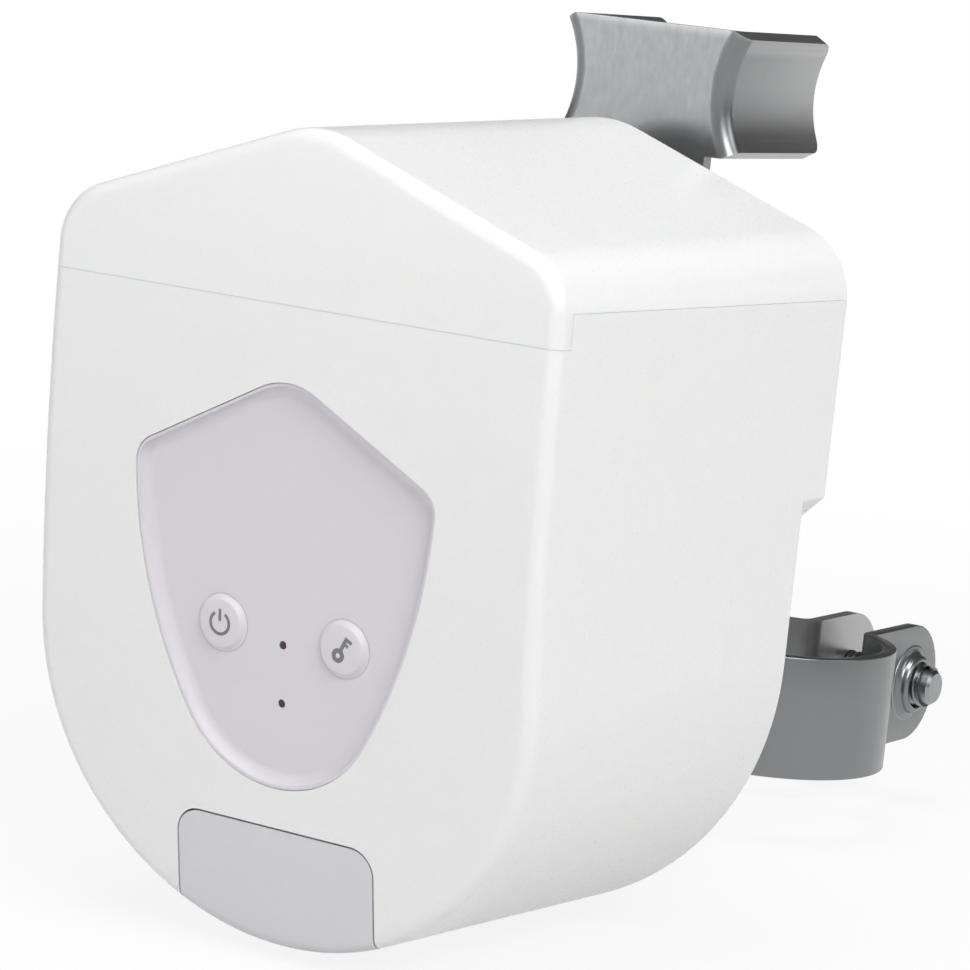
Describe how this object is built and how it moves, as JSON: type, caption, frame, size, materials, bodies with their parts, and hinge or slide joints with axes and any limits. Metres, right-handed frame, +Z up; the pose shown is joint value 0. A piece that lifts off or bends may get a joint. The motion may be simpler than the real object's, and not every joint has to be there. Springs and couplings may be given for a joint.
{
  "type": "clamp-on valve drive",
  "caption": "Motor drive that clamps on a water pipe and turns a valve lever with a bent steel fork; white housing with sunk panel, push buttons and a release tab.",
  "frame": {"origin": "centre of the pipe clamp: on the pipe's axis, at half the clamp's height", "axes": "+Z up along the pipe's axis; the drive's panel looks towards -Y; +X to the right of one who looks at the panel"},
  "size_m": [0.0966, 0.218, 0.1474],
  "materials": {
    "white_plastic": "satin",
    "panel_grey": "fine satin",
    "tab_grey": "satin",
    "black_plastic": "matte",
    "natural_plastic": "satin",
    "smoked_plastic": "smoked clear",
    "lamp": "gloss",
    "board_green": "satin",
    "steel": "pickled sheet",
    "bright_steel": "zinc plated",
    "brass": "turned"
  },
  "bodies": {
    "drive_unit": {"front_housing": "white_plastic", "top_cap": "white_plastic", "front_panel": "panel_grey", "rear_cover": "white_plastic", "light_guides": "smoked_plastic", "cover_screws": "bright_steel", "power_inlet": "black_plastic", "circuit_board": "board_green", "board_screws": "bright_steel", "tact_switches": "black_plastic", "radio_module": "bright_steel", "buzzer": "black_plastic", "power_capacitors": "black_plastic", "motor_socket": "natural_plastic", "indicator_lamps": "lamp", "motor_case": "bright_steel", "motor_screws": "bright_steel", "gear_axles": "bright_steel", "gearbox_front_plate": "bright_steel", "gearbox_rear_plate": "bright_steel", "gearbox_pillars": "bright_steel", "gearbox_screws": "bright_steel", "front_bush": "brass", "rear_bush": "brass", "shaft_seal": "black_plastic", "sensor_board": "board_green", "sensor_spacers": "brass", "mount_plate": "steel", "mount_rivets": "bright_steel", "fixed_jaw": "steel", "hinge_arm": "steel", "hinge_pin": "bright_steel", "clamp_washer": "bright_steel", "latch_spring": "bright_steel"},
    "fork_and_shaft": {"fork": "steel", "output_shaft": "bright_steel", "output_gear": "bright_steel", "gear_key": "bright_steel", "shaft_clip": "bright_steel", "position_magnet": "bright_steel", "fork_bolt": "bright_steel", "fork_washer": "bright_steel"},
    "second_wheel": {"second_gear": "natural_plastic"},
    "first_wheel": {"first_gear": "natural_plastic"},
    "motor_rotor": {"motor_shaft": "bright_steel", "motor_pinion": "brass"},
    "control_key": {"control_button": "panel_grey", "control_switch_plunger": "bright_steel"},
    "reset_key": {"reset_button": "panel_grey", "reset_switch_plunger": "bright_steel"},
    "release": {"push_tab": "tab_grey", "release_bar": "natural_plastic"},
    "latch": {"latch": "natural_plastic"},
    "outer_jaw": {"moving_jaw": "steel"},
    "screw": {"clamp_screw": "bright_steel"}
  },
  "joints": [
    {"name": "fork_turn", "type": "hinge", "parent": "drive_unit", "child": "fork_and_shaft", "pos_m": [0, -0.0719, 0.0674], "axis": [0, 1, 0], "range_deg": [-90, 90]},
    {"name": "second_gear_turn", "type": "hinge", "parent": "drive_unit", "child": "second_wheel", "pos_m": [-0.015, -0.116, 0.04142], "axis": [0, 1, 0], "range_deg": [-360, 360]},
    {"name": "first_gear_turn", "type": "hinge", "parent": "drive_unit", "child": "first_wheel", "pos_m": [-0.0054, -0.116, 0.02479], "axis": [0, 1, 0], "range_deg": [-1080, 1080]},
    {"name": "motor_turn", "type": "hinge", "parent": "drive_unit", "child": "motor_rotor", "pos_m": [0.00644, -0.124, 0.02048], "axis": [0, 1, 0], "range_deg": [-3456, 3456]},
    {"name": "control_press", "type": "slide", "parent": "drive_unit", "child": "control_key", "axis": [0, 1, 0], "range_m": [0, 0.0005], "stiffness_N_per_m": 400, "springref_m": -0.0005},
    {"name": "reset_press", "type": "slide", "parent": "drive_unit", "child": "reset_key", "axis": [0, 1, 0], "range_m": [0, 0.0005], "stiffness_N_per_m": 400, "springref_m": -0.0005},
    {"name": "release_push", "type": "slide", "parent": "drive_unit", "child": "release", "axis": [0, 1, 0], "range_m": [0, 0.0025], "stiffness_N_per_m": 800, "springref_m": -0.0005},
    {"name": "latch_drop", "type": "slide", "parent": "drive_unit", "child": "latch", "axis": [0, 0, 1], "range_m": [-0.0025, 0], "deforming": ["latch_spring"]},
    {"name": "screw_turn", "type": "hinge", "parent": "drive_unit", "child": "screw", "pos_m": [0, 0.037, 0], "axis": [-1, 0, 0], "range_deg": [0, 459.5]},
    {"name": "jaw_open", "type": "hinge", "parent": "drive_unit", "child": "outer_jaw", "pos_m": [-0.0021, -0.02396, 0], "axis": [0, 0, -1], "range_deg": [0, 1.5]}
  ],
  "couplings": [
    {"joint": "second_gear_turn", "follows": "fork_turn", "ratio": -4},
    {"joint": "first_gear_turn", "follows": "fork_turn", "ratio": 12},
    {"joint": "motor_turn", "follows": "fork_turn", "ratio": -38.4},
    {"joint": "latch_drop", "follows": "release_push", "ratio": -1},
    {"joint": "jaw_open", "follows": "screw_turn", "ratio": 0.003263}
  ]
}
